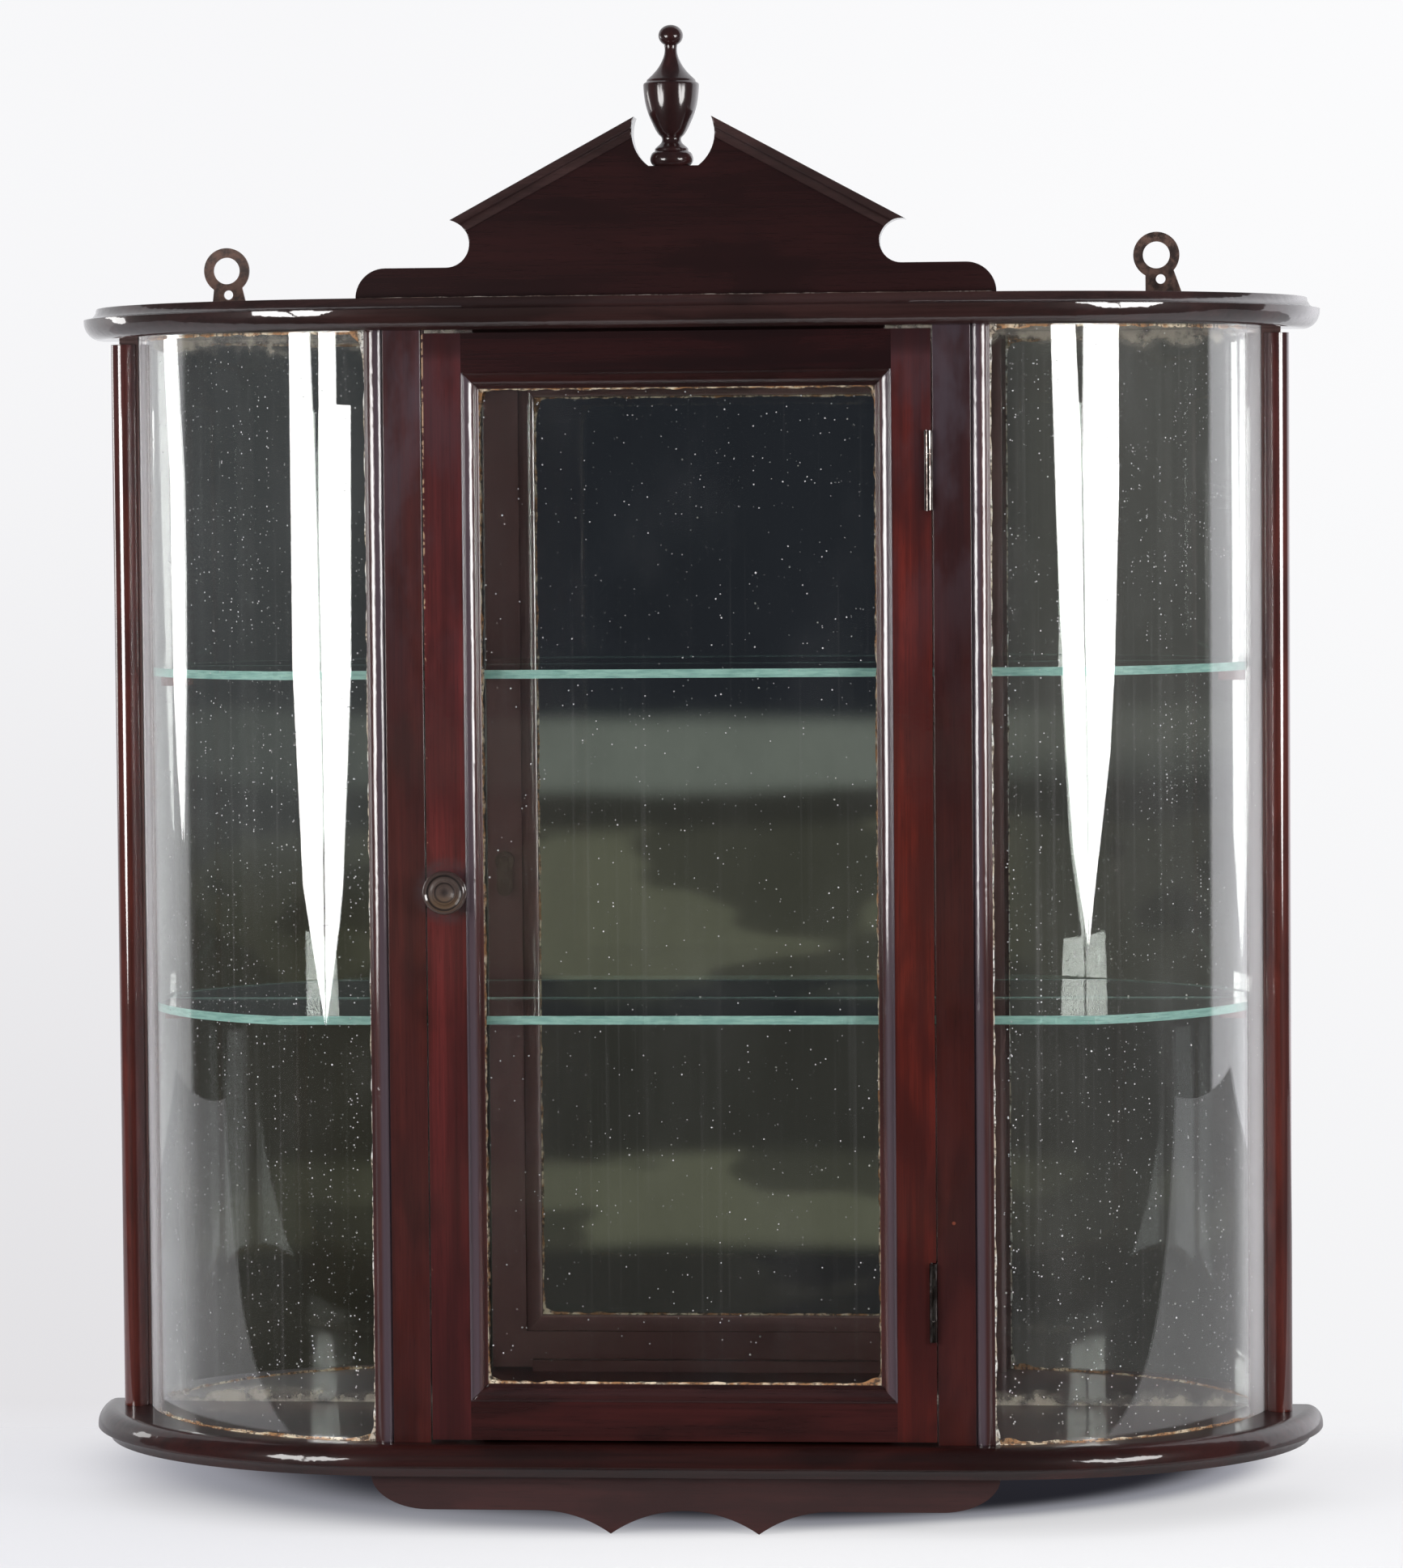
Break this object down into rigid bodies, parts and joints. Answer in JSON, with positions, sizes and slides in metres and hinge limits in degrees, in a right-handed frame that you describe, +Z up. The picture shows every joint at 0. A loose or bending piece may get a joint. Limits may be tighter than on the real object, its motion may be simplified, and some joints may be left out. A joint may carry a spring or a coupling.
{
  "type": "wall display cabinet",
  "caption": "Bow-ended wall display cabinet with a glazed door, bent glass sides, a mirror back, glass shelves, a broken pediment with a finial and a scalloped apron.",
  "frame": {"origin": "on the wall plane, on the centre line, at the underside of the base board", "axes": "+X to the right seen from the front, +Y towards the wall, +Z up"},
  "size_m": [0.6224, 0.1457, 0.7291],
  "materials": {
    "polished_mahogany": "french polished",
    "back_wood": "stained, unpolished",
    "knob_wood": "french polished",
    "clear_glass": "clear",
    "shelf_glass": "clear, green at the edges",
    "old_mirror": "silvered, foxed at the edges",
    "hanger_iron": "browned",
    "hinge_brass": "aged",
    "screw_steel": "dull"
  },
  "bodies": {
    "cabinet": {"apron": "polished_mahogany", "apron_glue_blocks": "back_wood", "back_mirror": "old_mirror", "back_panel": "back_wood", "back_panel_pins": "screw_steel", "back_shelf_rests": "polished_mahogany", "base_board": "polished_mahogany", "base_board_screws": "screw_steel", "bottom_door_stop": "polished_mahogany", "finial": "polished_mahogany", "front_shelf_rests": "polished_mahogany", "hanger_screws": "screw_steel", "hinge_pins": "hinge_brass", "hinge_post_screws": "hinge_brass", "keeper_plate": "hinge_brass", "keeper_screws": "hinge_brass", "left_back_post": "polished_mahogany", "left_bent_glass": "clear_glass", "left_front_post": "polished_mahogany", "left_half_round": "polished_mahogany", "left_hanger": "hanger_iron", "left_post_bead": "polished_mahogany", "left_raking_moulding": "polished_mahogany", "lower_glass_shelf": "shelf_glass", "lower_hinge_post_leaf": "hinge_brass", "pediment_board": "polished_mahogany", "pediment_glue_blocks": "back_wood", "right_back_post": "polished_mahogany", "right_bent_glass": "clear_glass", "right_front_post": "polished_mahogany", "right_half_round": "polished_mahogany", "right_hanger": "hanger_iron", "right_post_bead": "polished_mahogany", "right_raking_moulding": "polished_mahogany", "top_board": "polished_mahogany", "top_board_screws": "screw_steel", "top_door_stop": "polished_mahogany", "upper_glass_shelf": "shelf_glass", "upper_hinge_post_leaf": "hinge_brass"},
    "door": {"door_bottom_glazing_bead": "polished_mahogany", "door_bottom_moulding": "polished_mahogany", "door_bottom_rail": "polished_mahogany", "door_glass": "clear_glass", "door_left_glazing_bead": "polished_mahogany", "door_left_moulding": "polished_mahogany", "door_left_stile": "polished_mahogany", "door_right_glazing_bead": "polished_mahogany", "door_right_moulding": "polished_mahogany", "door_right_stile": "polished_mahogany", "door_top_glazing_bead": "polished_mahogany", "door_top_moulding": "polished_mahogany", "door_top_rail": "polished_mahogany", "hinge_door_screws": "hinge_brass", "lower_hinge_door_leaf": "hinge_brass", "upper_hinge_door_leaf": "hinge_brass"},
    "knob": {"knob": "knob_wood", "knob_spindle": "screw_steel", "turn_catch": "hinge_brass"}
  },
  "joints": [
    {"name": "door_hinge", "type": "hinge", "parent": "cabinet", "child": "door", "pos_m": [0.1215, -0.1337, 0.2855], "axis": [0, 0, 1], "range_deg": [0, 180]},
    {"name": "knob_turn", "type": "hinge", "parent": "door", "child": "knob", "pos_m": [-0.1128, -0.1325, 0.2845], "axis": [0, 1, 0], "range_deg": [0, 90]}
  ]
}
